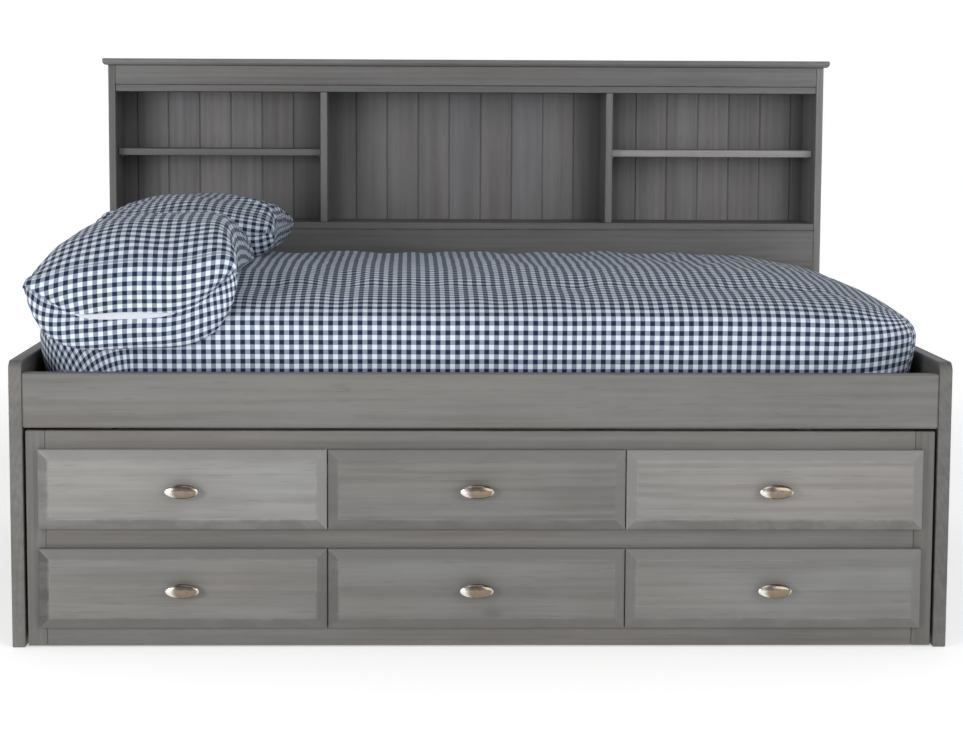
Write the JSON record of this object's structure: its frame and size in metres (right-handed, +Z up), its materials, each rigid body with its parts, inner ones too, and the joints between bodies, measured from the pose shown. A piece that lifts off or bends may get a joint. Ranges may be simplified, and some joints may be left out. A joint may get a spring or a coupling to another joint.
{
  "type": "trundle bed",
  "caption": "Bookcase daybed in grey-stained pine with a made-up full mattress and a rolling trundle unit with drawers below.",
  "frame": {"origin": "on the floor, under the middle of the whole piece", "axes": "+X to the viewer's right along the bed, +Y to the back, +Z up"},
  "size_m": [2.032, 1.6906, 1.3026],
  "materials": {
    "stained_pine": "grey stain, satin, rubbed at the edges",
    "plain_pine": "planed, unfinished",
    "satin_nickel": "satin nickel plate",
    "caster_steel": "zinc plate",
    "caster_rubber": "matt",
    "checked_cotton": "navy and white checked plain weave"
  },
  "bodies": {
    "bed": {"left_end_panel": "stained_pine", "right_end_panel": "stained_pine", "front_rail": "stained_pine", "front_cleat": "plain_pine", "rear_rail": "stained_pine", "centre_beam": "plain_pine", "bed_slats": "plain_pine", "bookcase_left_side": "stained_pine", "bookcase_right_side": "stained_pine", "bookcase_crown": "stained_pine", "bookcase_fascia": "stained_pine", "bookcase_top_board": "stained_pine", "bookcase_bottom_shelf": "stained_pine", "bookcase_apron": "stained_pine", "bookcase_left_divider": "stained_pine", "bookcase_right_divider": "stained_pine", "bookcase_left_shelf": "stained_pine", "bookcase_right_shelf": "stained_pine", "bookcase_back": "stained_pine", "mattress": "checked_cotton", "front_pillow": "checked_cotton", "rear_pillow": "checked_cotton"},
    "trundle": {"trundle_left_stile": "stained_pine", "trundle_right_stile": "stained_pine", "trundle_top_rail": "stained_pine", "trundle_middle_rail": "stained_pine", "trundle_bottom_rail": "stained_pine", "trundle_left_side": "stained_pine", "trundle_right_side": "stained_pine", "trundle_back": "stained_pine", "trundle_left_partition": "plain_pine", "trundle_right_partition": "plain_pine", "trundle_slats": "plain_pine", "false_front_left": "stained_pine", "false_front_middle": "stained_pine", "false_front_right": "stained_pine", "knob_top_left": "satin_nickel", "knob_top_middle": "satin_nickel", "knob_top_right": "satin_nickel", "drawer_runner_left": "plain_pine", "drawer_runner_middle": "plain_pine", "drawer_runner_right": "plain_pine", "caster_bracket_front_left": "caster_steel", "caster_bracket_front_right": "caster_steel", "caster_bracket_rear_left": "caster_steel", "caster_bracket_rear_right": "caster_steel"},
    "drawer_left": {"drawer_front_left": "stained_pine", "drawer_box_left": "plain_pine", "knob_low_left": "satin_nickel"},
    "drawer_middle": {"drawer_front_middle": "stained_pine", "drawer_box_middle": "plain_pine", "knob_low_middle": "satin_nickel"},
    "drawer_right": {"drawer_front_right": "stained_pine", "drawer_box_right": "plain_pine", "knob_low_right": "satin_nickel"},
    "wheel_front_left": {"caster_wheel_front_left": "caster_rubber"},
    "wheel_front_right": {"caster_wheel_front_right": "caster_rubber"},
    "wheel_rear_left": {"caster_wheel_rear_left": "caster_rubber"},
    "wheel_rear_right": {"caster_wheel_rear_right": "caster_rubber"}
  },
  "joints": [
    {"name": "trundle_slide", "type": "slide", "parent": "bed", "child": "trundle", "axis": [0, -1, 0], "range_m": [0, 1]},
    {"name": "drawer_left_slide", "type": "slide", "parent": "trundle", "child": "drawer_left", "axis": [0, -1, 0], "range_m": [0, 0.38]},
    {"name": "drawer_middle_slide", "type": "slide", "parent": "trundle", "child": "drawer_middle", "axis": [0, -1, 0], "range_m": [0, 0.38]},
    {"name": "drawer_right_slide", "type": "slide", "parent": "trundle", "child": "drawer_right", "axis": [0, -1, 0], "range_m": [0, 0.38]},
    {"name": "caster_front_left_spin", "type": "hinge", "parent": "trundle", "child": "wheel_front_left", "pos_m": [-0.9356, -0.7144, 0.022], "axis": [1, 0, 0], "continuous": true},
    {"name": "caster_front_right_spin", "type": "hinge", "parent": "trundle", "child": "wheel_front_right", "pos_m": [0.9356, -0.7144, 0.022], "axis": [1, 0, 0], "continuous": true},
    {"name": "caster_rear_left_spin", "type": "hinge", "parent": "trundle", "child": "wheel_rear_left", "pos_m": [-0.9356, 0.1633, 0.022], "axis": [1, 0, 0], "continuous": true},
    {"name": "caster_rear_right_spin", "type": "hinge", "parent": "trundle", "child": "wheel_rear_right", "pos_m": [0.9356, 0.1633, 0.022], "axis": [1, 0, 0], "continuous": true}
  ],
  "couplings": [
    {"joint": "caster_front_left_spin", "follows": "trundle_slide", "rad_per_m": 45.455},
    {"joint": "caster_front_right_spin", "follows": "trundle_slide", "rad_per_m": 45.455},
    {"joint": "caster_rear_left_spin", "follows": "trundle_slide", "rad_per_m": 45.455},
    {"joint": "caster_rear_right_spin", "follows": "trundle_slide", "rad_per_m": 45.455}
  ]
}
